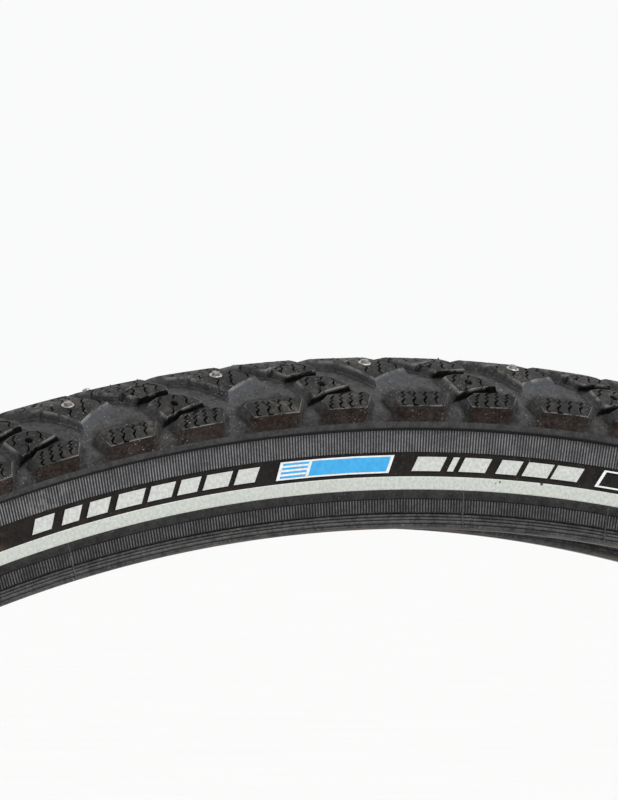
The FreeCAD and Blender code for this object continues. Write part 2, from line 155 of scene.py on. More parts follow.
# ------------------------------------------------------------------ tread pattern
# Blocks of the near half, (theta, v) with v > 0 towards the near side. The other
# half is the same pattern turned over: theta to -12 - theta, v to -v.
# Each edge has its own draft, in mm, from this corner to the next one.
# The fourth number of a corner colours the wall from this corner to the next: 1 paler and bluish, a painted highlight
# on walls facing the light from the right; 2 near-black, painted shade on walls turned downwards; 3 brown walls.
S_BLOCK = [(-8.02, 6.9, .55, 0), (-7.72, 9.8, .60, 0), (-7.45, 12.4, .60, 0), (-7.26, 14.2, 1.15, 1), (-6.57, 12.05, 1.25, 1),
           (-6.02, 10.65, 1.25, 1), (-5.70, 9.85, .80, 1), (-6.15, 7.2, .50, 0), (-6.36, 5.2, .50, 0), (-6.42, 2.5, .50, 0),
           (-6.40, -2.7, .50, 0), (-6.64, -6.2, .50, 0), (-6.90, -7.6, .45, 0), (-7.48, -6.3, .45, 0), (-7.76, -5.3, .16, 0),
           (-7.17, 4.7, .16, 0)]
C_BLOCK = [(-4.93, 7.9, .60, 0), (-4.52, 11.2, .14, 2), (-3.90, 10.45, .14, 2), (-3.24, 9.70, .40, 2), (-3.22, 8.3, .50, 0),
           (-3.42, 5.6, .55, 0), (-3.38, -3.0, .50, 0), (-3.90, -5.5, .45, 0), (-4.62, -4.5, .16, 0), (-4.12, 5.3, .16, 0),
           (-4.45, 6.45, .16, 0)]
H_BLOCK = [(-4.36, 13.3, 1.25, 0), (-4.31, 15.6, 1.25, 0), (-4.21, 18.50, .12, 2), (-3.40, 17.10, .12, 2), (-2.50, 15.85, .9, 0),
           (-2.72, 14.1, 1.3, 0), (-2.98, 12.7, 1.0, 0), (-3.45, 11.95, .50, 0), (-3.95, 12.25, .45, 0)]
SH_A = [(-6.86, 20.8, 1.15, 0), (-7.08, 18.9, .9, 0), (-6.78, 17.7, 1.5, 0), (-5.12, 17.3, .9, 0), (-4.68, 18.7, 1.15, 0), (-5.02, 20.8, .30, 3)]
SH_B = [(-3.86, 20.8, .80, 0), (-3.98, 19.55, .4, 0), (-3.62, 18.55, .35, 0), (-2.30, 17.7, .9, 0), (-1.88, 18.9, 1.15, 0), (-2.20, 20.8, .30, 3)]

# Sipes: centre lines in (theta, v), one list per sipe, with the block top they cut.
S_SIPES = [
    [(-6.35, 6.1), (-6.53, 7.3), (-6.51, 8.3), (-6.69, 9.3), (-6.68, 10.2), (-6.83, 11.0), (-6.82, 12.1)],
    [(-7.22, 9.0), (-7.17, 9.8), (-7.30, 10.4), (-7.36, 11.0)],
    [(-5.98, 8.5), (-5.93, 9.0), (-5.98, 9.5)],
    [(-7.72, 7.7), (-7.66, 7.2), (-7.70, 6.8), (-7.60, 6.3)],
    [(-7.02, 4.6), (-6.90, 3.6), (-6.97, 2.6), (-6.86, 1.6)],
    [(-6.68, 4.0), (-6.60, 3.2), (-6.68, 2.4), (-6.58, 1.6)],
    [(-7.05, 0.6), (-6.90, -0.3), (-6.98, -1.2), (-6.82, -2.1)],
    [(-6.60, 0.2), (-6.46, -0.7), (-6.54, -1.6), (-6.40, -2.5)],
    [(-7.40, -3.0), (-7.25, -3.8), (-7.33, -4.7), (-7.18, -5.5)],
    [(-6.90, -3.6), (-6.76, -4.4), (-6.84, -5.3), (-6.72, -6.1)],
]
C_SIPES = [
    [(-4.53, 8.6), (-4.40, 7.8), (-4.44, 7.1), (-4.32, 6.3)],
    [(-4.10, 9.5), (-4.07, 8.6), (-3.92, 7.6), (-3.94, 6.6), (-3.79, 5.6)],
    [(-3.64, 8.7), (-3.46, 7.6), (-3.50, 6.9), (-3.62, 6.2)],
    [(-3.98, 4.4), (-3.84, 3.4), (-3.92, 2.5), (-3.78, 1.5)],
    [(-4.40, 1.4), (-4.26, 0.5), (-4.34, -0.5), (-4.20, -1.4)],
    [(-3.82, 0.0), (-3.68, -0.9), (-3.76, -1.8), (-3.62, -2.7)],
    [(-4.32, -2.6), (-4.18, -3.4), (-4.24, -4.1)],
]
H_SIPES = [
    [(-3.90, 12.9), (-4.06, 13.7), (-4.03, 14.4), (-4.15, 15.0)],
    [(-2.98, 13.6), (-2.94, 14.4), (-3.08, 15.2), (-3.06, 16.0)],
    [(-3.78, 16.9), (-3.80, 17.4), (-3.88, 17.7)],
    [(-3.28, 12.6), (-3.38, 13.1)],
]


def shoulder_sipes(first, pitch, v0, v1):
    out = []
    for i in range(4):
        c = first + pitch * i
        lo = v0 + (0.75, 0.25, 0.0, 0.15)[i]
        hi = v1 - (0.0, 0.0, 0.1, 0.3)[i]
        pts = []
        for j in range(7):
            t = j / 6
            z = (0.0, -0.075, 0.065, -0.055, 0.075, -0.04, 0.02)[j]
            pts.append((c + z + 0.23 * (0.5 - t), lo + (hi - lo) * t))
        out.append(pts)
    return out


SH_A_SIPES = shoulder_sipes(-6.62, 0.465, 17.65, 20.60)
SH_B_SIPES = shoulder_sipes(-3.61, 0.42, 18.35, 20.60)
STUD = (-7.06, 7.4)
HOLE = (-3.53, 15.0)
EDGE_PATH = [(23.4, -1.66), (20.8, -1.66), (18.6, -1.66), (17.2, -1.70), (15.8, -1.92), (14.0, -2.10), (11.0, -2.45),
             (9.0, -2.55), (7.0, -2.72), (5.6, -2.98), (3.0, -3.02), (0.0, -3.0)]


def turned(pts):
    return [(-12.0 - p[0], -p[1]) + tuple(p[2:]) for p in pts]


def offset_poly(pts, dist):
    """Move every edge of a closed polygon outwards by its own distance."""
    p = [np.array(q[:2], float) for q in pts]
    n = len(p)
    area = sum(p[i][0] * p[(i + 1) % n][1] - p[(i + 1) % n][0] * p[i][1] for i in range(n))
    sgn = 1.0 if area > 0 else -1.0
    lines = []
    for i in range(n):
        d = p[(i + 1) % n] - p[i]
        d = d / np.linalg.norm(d)
        nrm = np.array([d[1], -d[0]]) * sgn
        lines.append((p[i] + nrm * dist[i], d, nrm))
    out = []
    for i in range(n):
        a, b = lines[i - 1], lines[i]
        den = a[1][0] * b[1][1] - a[1][1] * b[1][0]
        if abs(den) < 0.08:
            out.append(p[i] + (a[2] * dist[i - 1] + b[2] * dist[i]) * 0.5)
            continue
        t = ((b[0] - a[0])[0] * b[1][1] - (b[0] - a[0])[1] * b[1][0]) / den
        q = a[0] + a[1] * t
        m = q - p[i]
        lim = 2.2 * max(abs(dist[i - 1]), abs(dist[i]), 1e-6)
        if np.linalg.norm(m) > lim:
            q = p[i] + m * (lim / np.linalg.norm(m))
        out.append(q)
    return out


def inside(poly, x, y):
    """Points in a polygon, arrays x and y."""
    res = np.zeros(np.shape(x), bool)
    n = len(poly)
    for i in range(n):
        x1, y1 = poly[i][0], poly[i][1]
        x2, y2 = poly[(i + 1) % n][0], poly[(i + 1) % n][1]
        c = ((y1 > y) != (y2 > y)) & (x < (x2 - x1) * (y - y1) / (y2 - y1 + 1e-30) + x1)
        res ^= c
    return res


def dist_poly(poly, x, y):
    d = np.full(np.shape(x), 1e9)
    n = len(poly)
    for i in range(n):
        a = np.array(poly[i][:2], float)
        b = np.array(poly[(i + 1) % n][:2], float)
        ab = b - a
        t = np.clip(((x - a[0]) * ab[0] + (y - a[1]) * ab[1]) / (ab @ ab + 1e-30), 0, 1)
        d = np.minimum(d, np.hypot(x - a[0] - t * ab[0], y - a[1] - t * ab[1]))
    return d


CH = ("wear", "top", "blue", "dark", "brown")


class Plane:
    """A planar map in (u, v) millimetres whose points carry a height and finish values."""

    def __init__(self):
        self.co, self.h, self.att, self.edges = [], [], [], []

    def add(self, x, y, h, **att):
        self.co.append((float(x), float(y)))
        self.h.append(float(h))
        self.att.append([float(att.get(c, 0.0)) for c in CH])
        return len(self.co) - 1

    def loop(self, pts, h, closed=True, cls=None, **att):
        hh = h if hasattr(h, "__len__") else [h] * len(pts)
        ids = []
        for i, (p, z) in enumerate(zip(pts, hh)):
            a = dict(att)
            if cls is not None and len(p) > 2:
                # class 1 is a painted highlight on walls facing the light, 2 painted shade on walls turned downwards, 3
                # brown walls
                key = (None, "blue", "dark", "brown")[int(p[2])]
                if key:
                    a[key] = cls
            ids.append(self.add(p[0], p[1], z, **a))
        for i in range(len(ids) - (0 if closed else 1)):
            self.edges.append((ids[i], ids[(i + 1) % len(ids)]))
        return ids


def refine(pts, step, cls=None):
    """Split the edges of a closed polygon that are longer than step; each point keeps its edge's class."""
    out = []
    n = len(pts)
    for i in range(n):
        a, b = pts[i], pts[(i + 1) % n]
        L = math.hypot(b[0] - a[0], b[1] - a[1])
        k = max(1, int(math.ceil(L / step)))
        for j in range(k):
            t = j / k
            c = 0 if cls is None else (cls[i] if j or cls[i] == cls[i - 1] else max(cls[i], cls[i - 1]))
            out.append((a[0] + (b[0] - a[0]) * t, a[1] + (b[1] - a[1]) * t, c))
    return out


def ribbon(line, w):
    """Outline of a polyline thickened to width w, pointed a little at its ends."""
    p = [np.array(q, float) for q in line]
    L, R = [], []
    for i in range(len(p)):
        if i == 0:
            d = p[1] - p[0]
        elif i == len(p) - 1:
            d = p[-1] - p[-2]
        else:
            d = (p[i + 1] - p[i]) / np.linalg.norm(p[i + 1] - p[i]) + (p[i] - p[i - 1]) / np.linalg.norm(p[i] - p[i - 1])
        d = d / np.linalg.norm(d)
        nrm = np.array([-d[1], d[0]])
        ww = w if 0 < i < len(p) - 1 else w * 0.8
        L.append(p[i] + nrm * ww / 2)
        R.append(p[i] - nrm * ww / 2)
    return L + R[::-1]


def build_module():
    """One 6 degree module of the tread: arrays theta, v, h, wear, kind and triangles."""
    P = Plane()
    mm = lambda pts: [(q[0] * ARC, q[1]) + tuple(q[2:]) for q in pts]
    tops, taken, holes_at = [], [], []
    blocks = []
    for poly, sipes, kind in ((S_BLOCK, S_SIPES, 1.0), (C_BLOCK, C_SIPES, 2.0), (H_BLOCK, H_SIPES, 3.0),
                              (SH_A, SH_A_SIPES, 4.0), (SH_B, SH_B_SIPES, 4.0)):
        blocks.append((poly, sipes, kind))
        blocks.append((turned(poly), [turned(s) for s in sipes], kind))
    # bring every block inside the module by whole turns of the pattern
    left = [(t - 6.0, v) for v, t in EDGE_PATH]
    path_r = [(t, v) for v, t in EDGE_PATH] + [(-6.0 - t, -v) for v, t in EDGE_PATH[::-1][1:]]
    path_l = [(t - 6.0, v) for t, v in path_r]
    domain = mm(path_r) + mm(path_l)[::-1]
    placed = []
    for poly, sipes, kind in blocks:
        c = (sum(q[0] for q in poly) / len(poly), sum(q[1] for q in poly) / len(poly))
        for k in (-12, -6, 0, 6, 12):
            if inside(domain, np.array([(c[0] + k) * ARC]), np.array([c[1]]))[0]:
                placed.append(([(q[0] + k,) + tuple(q[1:]) for q in poly], [[(a + k, b) for a, b in s] for s in sipes], kind))
                break
        else:
            raise SystemExit("block outside the module: %s" % (c,))
    circles = []
    for (t, v), kind, rad in ((STUD, 1, 1.46), (HOLE, 3, 0.85)):
        for sgn in (0, 1):
            a, b = (t, v) if not sgn else (-12.0 - t, -v)
            for k in (-12, -6, 0, 6, 12):
                if inside(domain, np.array([(a + k) * ARC]), np.array([b]))[0]:
                    circles.append(((a + k) * ARC, b, rad, kind))
                    break
    # outer outline of the module, with points every 1.5 mm
    step = 1.5

    def open_path(pts):
        out = []
        for i in range(len(pts) - 1):
            a, b = pts[i], pts[i + 1]
            L = math.hypot(b[0] - a[0], b[1] - a[1])
            k = max(1, int(math.ceil(L / step)))
            out += [(a[0] + (b[0] - a[0]) * j / k, a[1] + (b[1] - a[1]) * j / k) for j in range(k)]
        return out + [pts[-1][:2]]

    R = open_path(mm(path_r))
    Lp = [(x - 6.0 * ARC, y) for x, y in R]
    ids_r = P.loop(R, 0.0, closed=False)
    ids_l = P.loop(Lp, 0.0, closed=False)
    for ia, ib in ((ids_r[0], ids_l[0]), (ids_r[-1], ids_l[-1])):
        a, b = P.co[ia], P.co[ib]
        k = 14
        prev = ia
        for j in range(1, k):
            q = P.add(a[0] + (b[0] - a[0]) * j / k, a[1], 0.0, brown=0.3)
            P.edges.append((prev, q))
            prev = q
        P.edges.append((prev, ib))
    skirts = []
    tops_in = []
    def sh_h(y):
        t = max(0.0, min(1.0, (abs(y) - 16.95) / 1.5))
        return 0.16 + 0.84 * t * t * (3 - 2 * t)

    for poly, sipes, kind in placed:
        pm = mm(poly)
        draft = [q[2] for q in pm]
        cls = [int(q[3]) for q in pm]
        n = len(pm)
        if kind == 4.0:
            # shoulder block: its outer edge runs on down the wall to the sidewall
            s = 1.0 if pm[0][1] > 0 else -1.0
            chamf = offset_poly(pm, [-0.16] * n)
            ring = offset_poly(pm, [0.0] * n)
            skirt = offset_poly(pm, [q + 0.12 for q in draft])
            o1, o2 = ring[0], ring[-1]
            d = 1.0 if o2[0] > o1[0] else -1.0
            foot1 = np.array([o1[0] + 0.30 * d, 23.34 * s])
            foot2 = np.array([o2[0] - 0.10 * d, 23.34 * s])
            # the top rings carry a paler edge: partly wear, partly painted edge highlight
            cc = refine(chamf, 1.6)
            P.loop(cc, [sh_h(q[1]) for q in cc], wear=0.5, top=1.0)
            rr = refine(ring, 1.6)
            P.loop(rr, [0.95 * sh_h(q[1]) for q in rr], wear=0.9, top=0.5)
            # a second line just under the top edge, where the brown walls begin
            low = offset_poly(pm, [0.10] * n)
            lo_pts = [q for q in refine(low, 1.6, cls)]
            lo_pts = [(q[0], min(abs(q[1]), 20.93) * s, q[2]) for q in lo_pts]
            P.loop(lo_pts, [0.82 * sh_h(q[1]) for q in lo_pts], cls=1.0)
            a1, a2 = np.array([o1[0] - 0.10 * d, 20.97 * s]), np.array([o2[0] + 0.10 * d, 20.97 * s])
            rows, m = [], 5
            for j in range(0, m + 1):
                t = j / m
                row = []
                for kx in range(0, 7):
                    w = kx / 6
                    q = (a1 * (1 - t) + foot1 * t) * (1 - w) + (a2 * (1 - t) + foot2 * t) * w
                    hgt = 0.97 if j < m else 0.9
                    row.append(P.add(q[0], q[1], hgt, brown=1.0))
                rows.append(row)
                for kx in range(6):
                    P.edges.append((row[kx], row[kx + 1]))
            for j in range(m):
                P.edges.append((rows[j][0], rows[j + 1][0]))
                P.edges.append((rows[j][6], rows[j + 1][6]))
            sk_full = [np.array([skirt[0][0], 20.8 * s])] + [skirt[i] for i in range(1, n - 1)] + [np.array([skirt[-1][0], 20.8 * s])]
            f1 = np.array([foot1[0] - 0.75 * d, 23.38 * s])
            f2 = np.array([foot2[0] + 0.75 * d, 23.38 * s])
            outline = sk_full + [f2, f1]
            # the foot outline is partly brown and darkened as painted shade where the wall meets the floor
            P.loop(refine(outline, 1.4), 0.0, brown=0.25, dark=0.45)
            skirts.append([tuple(f) for f in outline])
            tops_in.append((chamf, kind))
        else:
            chamf = offset_poly(pm, [-0.20] * n)
            mid = offset_poly(pm, [-0.07] * n)
            ring = offset_poly(pm, [0.02] * n)
            low = offset_poly(pm, [q * 0.78 for q in draft])
            skirt = offset_poly(pm, [q + (0.30 if q > 0.2 else 0.04) for q in draft])
            # the chamfer and edge rings carry a paler edge: partly wear, partly painted edge highlight
            P.loop(refine(chamf, 1.6), 1.0, wear=0.40, top=1.0)
            P.loop(refine(mid, 1.6), 0.985, wear=1.0, top=0.6)
            P.loop(refine(ring, 1.6, cls), 0.90, wear=0.9, cls=1.0)
            P.loop(refine(low, 1.6, cls), 0.14, cls=1.0)
            # wall feet: the skirt points without a class are darkened as painted shade
            sk_pts = refine(skirt, 1.6, cls)
            for i_s, q_s in zip(P.loop(sk_pts, 0.0, cls=0.6), sk_pts):
                if int(q_s[2]) == 0:
                    P.att[i_s][CH.index("dark")] = 0.5
            skirts.append([tuple(q) for q in skirt])
            tops_in.append((chamf, kind))
        cs = [c for c in circles if inside([tuple(q[:2]) for q in pm], np.array([c[0]]), np.array([c[1]]))[0]]
        for cx, cy, rad, ck in cs:
            nseg = 24 if ck == 1 else 20
            # socket and hole rims are paler, partly wear and partly painted highlight; the inner ring and the hole
            # floor are painted near-black as painted shade
            for k3, (rr, hh, we) in enumerate(((rad + 0.16, 1.0, 0.2), (rad, 0.93, 0.5), (rad * 0.93, -0.25 if ck == 3 else 0.25, 0.0))):
                pts = [(cx + rr * math.cos(2 * math.pi * k / nseg), cy + rr * math.sin(2 * math.pi * k / nseg)) for k in range(nseg)]
                P.loop(pts, hh, wear=we, top=1.0 if k3 < 2 else 0.0, dark=0.0 if k3 < 2 else 1.0)
            if ck == 3:
                P.add(cx, cy, -0.25, dark=1.0)
            holes_at.append((cx, cy, rad + 0.3))
        # sipes: a slit with steep walls, its floor painted near-black as painted shade
        for sp in sipes:
            line = [(a * ARC, b) for a, b in sp]
            if any(min(math.hypot(a - cx, b - cy) for a, b in line) < rad + 0.35 for cx, cy, rad, ck in cs):
                continue
            w = 0.50 if kind != 4.0 else 0.52
            out = ribbon(line, w)
            P.loop(out, [1.0 if kind != 4.0 else sh_h(q[1]) for q in out], wear=0.55, top=1.0)
            P.loop(ribbon(line, w * 0.74), 0.12 if kind != 4.0 else 0.02, dark=1.0)
            holes_at.append((line, w))
    # free points: coarse on the groove floor, finer on the block tops
    gx = np.arange(min(q[0] for q in domain), max(q[0] for q in domain), 1.25)
    gy = np.arange(-23.4, 23.5, 1.25)
    X, Y = np.meshgrid(gx, gy)
    X = X + (np.arange(len(gy))[:, None] % 2) * 0.6
    X, Y = X.ravel(), Y.ravel()
    dom = inside(domain, X, Y) & (dist_poly(domain, X, Y) > 0.6)
    X, Y = X[dom], Y[dom]
    state = np.zeros(len(X))          # 0 floor, -1 drop, else block top
    for sk in skirts:
        m = inside(sk, X, Y) | (dist_poly(sk, X, Y) < 0.45)
        state[m] = -1
    for poly, kind in tops_in:
        m = inside(poly, X, Y) & (dist_poly(poly, X, Y) > 0.4)
        state[m] = kind
    for hdef in holes_at:
        if len(hdef) == 3:
            state[(np.hypot(X - hdef[0], Y - hdef[1]) < hdef[2] + 0.3)] = -1
        else:
            line, w = hdef
            for a, b in zip(line, line[1:]):
                state[dist_poly([a, b], X, Y) < w + 0.3] = -1
    for x, y, s in zip(X, Y, state):
        if s == 0:
            P.add(x, y, 0.0, brown=0.25 if abs(y) > 21.0 else 0.0)
        elif s > 0:
            h = 1.0
            if s == 4.0:
                h = sh_h(y)
            P.add(x, y, h, top=1.0)
    res = geometry.delaunay_2d_cdt([Vector(c) for c in P.co], P.edges, [], 0, 1e-5)
    verts, _, tris, orig = res[0], res[1], res[2], res[3]
    xs = np.array([v.x for v in verts])
    ys = np.array([v.y for v in verts])
    lost = sum(1 for o in orig if not o)
    h = np.array([P.h[o[0]] if o else np.nan for o in orig])
    att = np.array([P.att[o[0]] if o else [0.0] * len(CH) for o in orig])
    if lost:
        known = ~np.isnan(h)
        for i in np.where(~known)[0]:
            d = np.hypot(xs[known] - xs[i], ys[known] - ys[i])
            h[i] = h[known][np.argmin(d)]
            att[i] = att[known][np.argmin(d)]
    tri = np.array([t for t in tris if len(t) == 3], int)
    cx, cy = xs[tri].mean(1), ys[tri].mean(1)
    keep = inside(domain, cx, cy)
    tri = tri[keep]
    # all one way up
    a = (xs[tri[:, 1]] - xs[tri[:, 0]]) * (ys[tri[:, 2]] - ys[tri[:, 0]]) - (xs[tri[:, 2]] - xs[tri[:, 0]]) * (ys[tri[:, 1]] - ys[tri[:, 0]])
    tri[a < 0] = tri[a < 0][:, ::-1]
    print("tread module: points", len(xs), "triangles", len(tri), "crossings", lost, "circles", len(circles))
    return xs / ARC, ys, h, att, tri


mt, mv, mh, matt, mtri = build_module()
SECTORS = 6
PER = 60 // SECTORS
tread_parts = []
for sec in range(SECTORS):
    cos, faces, count = [], [], 0
    for k in range(PER):
        p = place3(mt + 6.0 * (sec * PER + k), -mv, mh)       # the near side is -Y
        cos.append(p)
        faces.append(mtri + count)
        count += len(p)
    co = np.concatenate(cos)
    fa = np.concatenate(faces)
    # join the module edges
    key = np.round(co * 500).astype(np.int64)
    _, first, inv = np.unique(key, axis=0, return_index=True, return_inverse=True)
    fa = inv.ravel()[fa]
    fa = fa[(fa[:, 0] != fa[:, 1]) & (fa[:, 1] != fa[:, 2]) & (fa[:, 0] != fa[:, 2])]
    atts = np.concatenate([matt] * PER)[first]
    ob = new_object("tread_sector_%d" % (sec + 1), co[first], [tuple(int(i) for i in t[::-1]) for t in fa], True, 26,
                    {c: atts[:, i] for i, c in enumerate(CH)})
    tread_parts.append(ob)

# ------------------------------------------------------------------ rings of the sides and beads
SIDES = (("left", 1.0), ("right", -1.0))


def ring_chunks(chunks, name):
    """One object from (coordinates, faces, material index) chunks."""
    cos, faces, mats, n = [], [], [], 0
    for co, f, m in chunks:
        cos.append(co)
        faces += [tuple(i + n for i in q) for q in f]
        mats += [m] * len(f)
        n += len(co)
    ob = new_object(name, np.concatenate(cos), faces, True, 32)
    ob.data.polygons.foreach_set("material_index", mats)
    return ob


def rib_band(y0, r0, y1, r1, count, depth, side, phase=0.0, rise=0.14, crest=0.46):
    """Radial ribs between two circles: tops on the nominal face, valleys sunk by depth."""
    cols = count * 4
    th = np.zeros(cols)
    lift = np.zeros(cols)
    pitch = 2 * math.pi / count
    for j, (f, l) in enumerate(((0.0, 0.0), (rise, 1.0), (crest, 1.0), (crest + rise, 0.0))):
        th[j::4] = (np.arange(count) + f + phase) * pitch
        lift[j::4] = l
    rows = []
    e = 0.16 / abs(r1 - r0)
    for t, share in ((0.0, 1.0), (e * 0.35, 0.0), (1 - e * 0.35, 0.0), (1.0, 1.0)):
        y, r = y0 + (y1 - y0) * t, r0 + (r1 - r0) * t
        yy = y - depth * (1 - np.maximum(lift, share))
        rows.append(np.stack([r * np.sin(th), yy * side, r * np.cos(th)], -1))
    co = np.concatenate(rows)
    f = grid_faces(4, cols)
    return co, orient(f, side < 0)


side_objs, chafer_objs, stripe_objs = [], [], []
for tag, sd in SIDES:
    chunks = []
    # shelf under the shoulder walls, a step darkened in its material as painted shade, then the wide ribbed band
    for prof, m in (([(18.95, 334.3), (18.72, 333.55), (18.30, 332.85), (17.95, 332.3), (17.72, 332.16), (17.42, 332.12), (17.30, 332.02)], 0),
                    ([(16.90, 327.42), (16.74, 327.30), (16.72, 326.9), (16.62, 324.6), (16.56, 322.35), (16.60, 322.25), (16.40, 322.20), (16.33, 321.9)], 1),
                    ([(16.30, 319.7), (16.28, 319.42), (16.52, 319.36), (16.58, 319.2), (16.56, 318.2), (16.52, 317.7), (16.49, 317.52), (16.32, 317.44), (16.30, 317.38), (16.44, 317.32)], 2),
                    ([(16.36, 314.65), (16.34, 314.5), (16.20, 314.38), (16.02, 314.25), (16.00, 313.85)], 2)):
        co, f = revolve(prof, 900, sd)
        chunks.append((co, f, m))
    co, f = rib_band(17.30, 332.02, 16.90, 327.42, 3060, 0.26, sd)
    chunks.append((co, f, 3))
    co, f = rib_band(16.44, 317.32, 16.36, 314.65, 2880, 0.22, sd, 0.3)
    chunks.append((co, f, 4))
    side_objs.append(ring_chunks(chunks, "sidewall_skin_" + tag))
    co, f = revolve([(16.30, 322.22), (16.62, 322.20), (16.67, 322.12), (16.68, 321.9), (16.645, 320.8), (16.615, 319.7), (16.60, 319.5), (16.55, 319.42), (16.26, 319.40)], 900, sd)
    stripe_objs.append(ring_chunks([(co, f, 0)], "reflective_band_" + tag))
    # hard bead skin, with a groove and a rolled edge
    prof = [(16.04, 314.25), (16.16, 314.20), (16.32, 314.06), (16.36, 313.90), (16.32, 313.74), (16.16, 313.64), (16.16, 313.52), (16.38, 313.40), (16.46, 313.25), (16.46, 313.10),
            (16.30, 312.98), (16.30, 312.88), (16.46, 312.74), (16.54, 312.55), (16.52, 312.32), (16.34, 312.16), (16.32, 312.04), (16.44, 311.92),
            (16.46, 311.74), (16.38, 311.52), (16.26, 311.36), (16.00, 311.16), (15.7, 311.03), (14.6, 311.0), (13.4, 311.02),
            (12.9, 311.35), (12.5, 311.95), (12.42, 312.6), (12.45, 315.0), (12.9, 315.25)]
    co, f = revolve(prof, 900, sd)
    chafer_objs.append(ring_chunks([(co, f, 0)], "bead_skin_" + tag))

# inner ply: woven lining seen through the bore, a closed thin ring
LINE_IN = [(0, 342.7), (4, 342.45), (8, 341.4), (11, 339.9), (13.3, 337.5), (14.6, 334.6), (15.0, 331.0), (15.0, 322.0), (14.6, 319.4), (13.2, 316.4), (12.92, 315.3)]
pts = [(-y, r) for y, r in LINE_IN[::-1]][:-1] + LINE_IN
dense = []
for (ya, ra), (yb, rb) in zip(pts, pts[1:]):
    k = max(1, int(math.hypot(yb - ya, rb - ra) / 1.4))
    dense += [(ya + (yb - ya) * j / k, ra + (rb - ra) * j / k) for j in range(k)]
dense.append(pts[-1])
arr = np.array(dense)
for _ in range(2):
    arr[1:-1] = (arr[:-2] + 2 * arr[1:-1] + arr[2:]) / 4
tan = np.gradient(arr, axis=0)
tan /= np.linalg.norm(tan, axis=1)[:, None]
outer = arr + np.stack([-tan[:, 1], tan[:, 0]], -1) * 0.3
co, f = revolve([tuple(p) for p in arr] + [tuple(p) for p in outer[::-1]], 900, 1.0, closed=True)
lining = ring_chunks([(co, [q[::-1] for q in f], 0)], "inner_lining")

# ------------------------------------------------------------------ studs
def lathe(profile, segs, origin, axis):
    """Profile of (radius, height) turned about an axis; a zero radius closes it."""
    z = np.array(axis, float)
    z /= np.linalg.norm(z)
    x = np.cross(z, [0.0, 1.0, 0.0])
    x /= np.linalg.norm(x)
    y = np.cross(z, x)
    co, rows = [], []
    for r, h in profile:
        base = np.array(origin) + z * h
        if r < 1e-6:
            rows.append([len(co)])
            co.append(base)
        else:
            rows.append(list(range(len(co), len(co) + segs)))
            for k in range(segs):
                a = 2 * math.pi * k / segs
                co.append(base + x * (r * math.cos(a)) + y * (r * math.sin(a)))
    f = []
    for a, b in zip(rows, rows[1:]):
        for k in range(segs):
            k2 = (k + 1) % segs
            if len(a) == 1 and len(b) == 1:
                continue
            if len(a) == 1:
                f.append((a[0], b[k2], b[k]))
            elif len(b) == 1:
                f.append((a[k], a[k2], b[0]))
            else:
                f.append((a[k], a[k2], b[k2], b[k]))
    return np.array(co), f


BODY = [(0.0, -2.5), (2.1, -2.5), (2.2, -2.4), (2.2, -2.0), (1.2, -1.85), (1.2, -0.55), (1.38, -0.52), (1.42, -0.42), (1.42, 0.02), (1.38, 0.12),
        (1.30, 0.18), (1.08, 0.20), (0.98, 0.16), (0.86, 0.12), (0.85, 0.0), (0.85, -0.4)]
PIN = [(0.0, -1.2), (0.80, -1.2), (0.82, 0.60), (0.78, 0.74), (0.66, 0.80), (0.35, 0.82), (0.0, 0.82)]


def stud_set(tag, sd, profile, name, segs):
    cos, faces, n = [], [], 0
    for i in range(60):
        th, v = (STUD[0], -STUD[1]) if sd < 0 else (-12.0 - STUD[0], STUD[1])
        th += 6.0 * i
        a = th * DEG
        slope = (env_r(STUD[1] + 0.8) - env_r(STUD[1] - 0.8)) / 1.6
        ny, nr = -slope * (1 if v > 0 else -1), 1.0
        ln = math.hypot(ny, nr)
        axis = (nr / ln * math.sin(a), ny / ln, nr / ln * math.cos(a))
        r0 = float(env_r(STUD[1]))
        org = (r0 * math.sin(a), v, r0 * math.cos(a))
        sc = 1.0
        co, f = lathe(profile, segs, org, axis)
        cos.append(co)
        faces += [tuple(q + n for q in t) for t in f]
        n += len(co)
    return new_object(name, np.concatenate(cos), faces, True, 35)


stud_objs, pin_objs = [], []
for tag, sd in SIDES:
    stud_objs.append(stud_set(tag, sd, BODY, "stud_shells_" + tag, 28))
    pin_objs.append(stud_set(tag, sd, PIN, "stud_tips_" + tag, 20))

# ------------------------------------------------------------------ mould flash and vent whiskers
def side_y(r):
    return np.interp(r, [311.4, 311.8, 312.5, 313.2, 313.8, 314.1, 316.9, 317.2, 319.3, 319.5, 322.1, 322.3, 327.3, 327.5, 332.0, 332.2, 333.0, 333.9],
                     [16.32, 16.46, 16.54, 16.46, 16.26, 16.34, 16.43, 16.5, 16.58, 16.62, 16.69, 16.6, 16.8, 16.92, 17.31, 17.7, 18.4, 18.8])


def flash_line(theta, r_lo, r_hi, width, height, sd, waver=0.05):
    n = max(6, int((r_hi - r_lo) / 0.5))
    rr = np.linspace(r_lo, r_hi, n)
    rows = []
    for i, r in enumerate(rr):
        c = theta * DEG + waver * math.sin(i * 1.7) / r
        w = width / 2 * (1 + 0.35 * math.sin(i * 2.3 + 1)) / r
        h = height * (1 + 0.4 * math.sin(i * 1.3))
        y = float(side_y(r))
        rows.append([(r * math.sin(c - w), (y - 0.05) * sd, r * math.cos(c - w)), (r * math.sin(c - w * 0.4), (y + h) * sd, r * math.cos(c - w * 0.4)),
                     (r * math.sin(c + w * 0.4), (y + h) * sd, r * math.cos(c + w * 0.4)), (r * math.sin(c + w), (y - 0.05) * sd, r * math.cos(c + w))])
    co = np.array(rows).reshape(-1, 3)
    f = []
    for i in range(n - 1):
        for j in range(3):
            q = (i * 4 + j, i * 4 + j + 1, i * 4 + j + 5, i * 4 + j + 4)
            f.append(q if sd > 0 else q[::-1])
    return co, f


